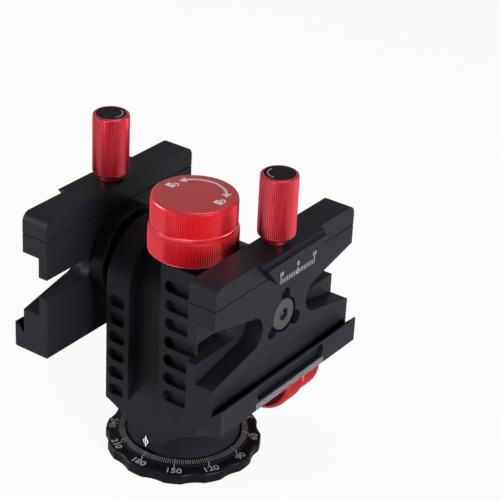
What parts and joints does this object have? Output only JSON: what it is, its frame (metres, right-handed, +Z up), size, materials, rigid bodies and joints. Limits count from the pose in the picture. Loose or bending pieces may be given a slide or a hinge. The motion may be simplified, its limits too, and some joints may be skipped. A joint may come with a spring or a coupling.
{
  "type": "cantilever tripod head",
  "caption": "Two-way tripod head: panning scalloped base, round-topped housing, tilting cross axle and a dovetail screw clamp on each end, with knurled lock knobs.",
  "frame": {"origin": "Middle of the footprint's bounding box, at the level of the base's underside, which stands on the tripod. The pan axis is 3.15 mm towards -Y of it.", "axes": "+Z up along the pan axis and the longest extent, +X along the tilt axle from clamp A to clamp B, +Y along the clamps' grooves towards the pan lock knob."},
  "size_m": [0.0842, 0.0808, 0.1125],
  "materials": {
    "black_aluminium": "satin black anodised, with laser-etched light grey scales",
    "red_aluminium": "bright red anodised, knurled, with white etched marks",
    "crimson_aluminium": "deep red anodised, finely knurled",
    "steel": "turned stainless steel",
    "bronze": "turned bearing bronze"
  },
  "bodies": {
    "base": {"base_ring": "black_aluminium", "pan_spindle": "steel", "tripod_thread_insert": "steel", "base_screw_1": "steel", "base_screw_2": "steel", "base_screw_3": "steel", "spindle_nut": "steel", "pan_thrust_washer": "bronze"},
    "housing_body": {"housing": "black_aluminium", "pan_bush_lower": "bronze", "pan_bush_upper": "bronze", "tilt_bush_a": "bronze", "tilt_bush_b": "bronze", "tilt_upper_shoe": "bronze", "pan_rear_shoe": "bronze"},
    "tilt_lock": {"tilt_lock_knob": "red_aluminium", "tilt_lock_screw": "steel"},
    "tilt_shoe": {"tilt_lower_shoe": "bronze"},
    "pan_lock": {"pan_lock_knob": "red_aluminium", "pan_lock_screw": "steel"},
    "pan_shoe": {"pan_front_shoe": "bronze"},
    "cradle": {"tilt_axle": "steel", "tilt_washer_a": "bronze", "tilt_washer_b": "bronze", "hub_a": "black_aluminium", "hub_b": "black_aluminium", "clamp_body_a": "black_aluminium", "clamp_body_b": "black_aluminium", "centre_washer_a": "steel", "centre_washer_b": "steel", "centre_screw_a": "steel", "centre_screw_b": "steel", "locating_pin_a_1": "steel", "locating_pin_a_2": "steel", "locating_pin_a_3": "steel", "locating_pin_b_1": "steel", "locating_pin_b_2": "steel", "locating_pin_b_3": "steel", "jaw_spring_a_front": "steel", "jaw_spring_a_back": "steel", "jaw_spring_b_front": "steel", "jaw_spring_b_back": "steel"},
    "jaw_a": {"moving_jaw_a": "black_aluminium", "guide_pin_a_front": "steel", "guide_pin_a_back": "steel"},
    "jaw_b": {"moving_jaw_b": "black_aluminium", "guide_pin_b_front": "steel", "guide_pin_b_back": "steel"},
    "jaw_knob_a": {"clamp_knob_a": "crimson_aluminium", "knob_cap_a": "black_aluminium", "clamp_screw_a": "steel"},
    "jaw_knob_b": {"clamp_knob_b": "crimson_aluminium", "knob_cap_b": "black_aluminium", "clamp_screw_b": "steel"}
  },
  "joints": [
    {"name": "pan", "type": "hinge", "parent": "base", "child": "housing_body", "pos_m": [0, -0.00315, 0], "axis": [0, 0, 1], "continuous": true},
    {"name": "tilt", "type": "hinge", "parent": "housing_body", "child": "cradle", "pos_m": [0, -0.00315, 0.0645], "axis": [1, 0, 0], "continuous": true},
    {"name": "tilt_lock_turn", "type": "hinge", "parent": "housing_body", "child": "tilt_lock", "pos_m": [0.0088, -0.01305, 0.0645], "axis": [0, 0, -1], "range_deg": [0, 120]},
    {"name": "tilt_shoe_slide", "type": "slide", "parent": "housing_body", "child": "tilt_shoe", "axis": [0, 0, 1], "range_m": [0, 0.000234]},
    {"name": "pan_lock_turn", "type": "hinge", "parent": "housing_body", "child": "pan_lock", "pos_m": [0.012, -0.00315, 0.0209], "axis": [0, -1, 0], "range_deg": [0, 120]},
    {"name": "pan_shoe_slide", "type": "slide", "parent": "housing_body", "child": "pan_shoe", "axis": [0, 1, 0], "range_m": [0, 0.000234]},
    {"name": "jaw_a_slide", "type": "slide", "parent": "cradle", "child": "jaw_a", "axis": [0, 0, 1], "range_m": [0, 0.005], "deforming": ["jaw_spring_a_front", "jaw_spring_a_back"]},
    {"name": "jaw_b_slide", "type": "slide", "parent": "cradle", "child": "jaw_b", "axis": [0, 0, 1], "range_m": [0, 0.005], "deforming": ["jaw_spring_b_front", "jaw_spring_b_back"]},
    {"name": "jaw_knob_a_turn", "type": "hinge", "parent": "jaw_a", "child": "jaw_knob_a", "pos_m": [-0.0333, -0.00315, 0.0816], "axis": [0, 0, 1], "range_deg": [0, 1440]},
    {"name": "jaw_knob_b_turn", "type": "hinge", "parent": "jaw_b", "child": "jaw_knob_b", "pos_m": [0.0333, -0.00315, 0.0816], "axis": [0, 0, 1], "range_deg": [0, 1440]}
  ],
  "couplings": [
    {"joint": "tilt_shoe_slide", "follows": "tilt_lock_turn", "m_per_rad": 0.0001114},
    {"joint": "pan_shoe_slide", "follows": "pan_lock_turn", "m_per_rad": 0.0001114},
    {"joint": "jaw_knob_a_turn", "follows": "jaw_a_slide", "rad_per_m": 5026.5},
    {"joint": "jaw_knob_b_turn", "follows": "jaw_b_slide", "rad_per_m": 5026.5}
  ]
}
